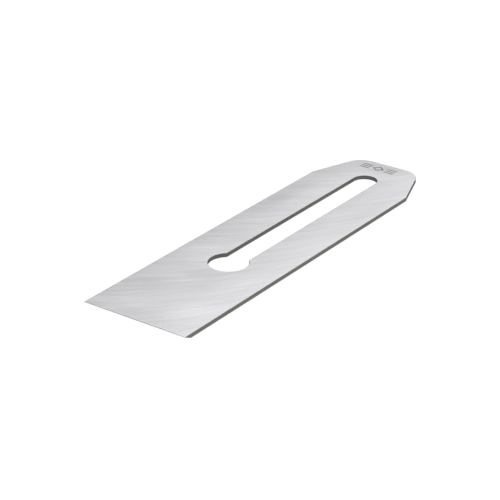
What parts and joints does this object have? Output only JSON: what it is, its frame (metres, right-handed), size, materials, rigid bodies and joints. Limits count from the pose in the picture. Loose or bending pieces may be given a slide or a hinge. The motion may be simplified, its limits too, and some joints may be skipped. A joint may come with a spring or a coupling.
{
  "type": "plane iron",
  "caption": "Flat steel cutter for a bench plane: square bevelled cutting edge, long keyhole slot for the cap iron's screw, and clipped, rounded corners at the top end.",
  "frame": {"origin": "middle of the blade's outline, on the bed face that it lies on", "axes": "+X across the width, +Y from the cutting edge towards the top end, +Z from the bed face to the flat face that the cap iron sits on"},
  "size_m": [0.0508, 0.1906, 0.002],
  "materials": {
    "ground_steel": "surface-ground faces with long arc-shaped grinding lines, darker sheared edges"
  },
  "bodies": {
    "root": {"plane_iron": "ground_steel"}
  },
  "joints": []
}
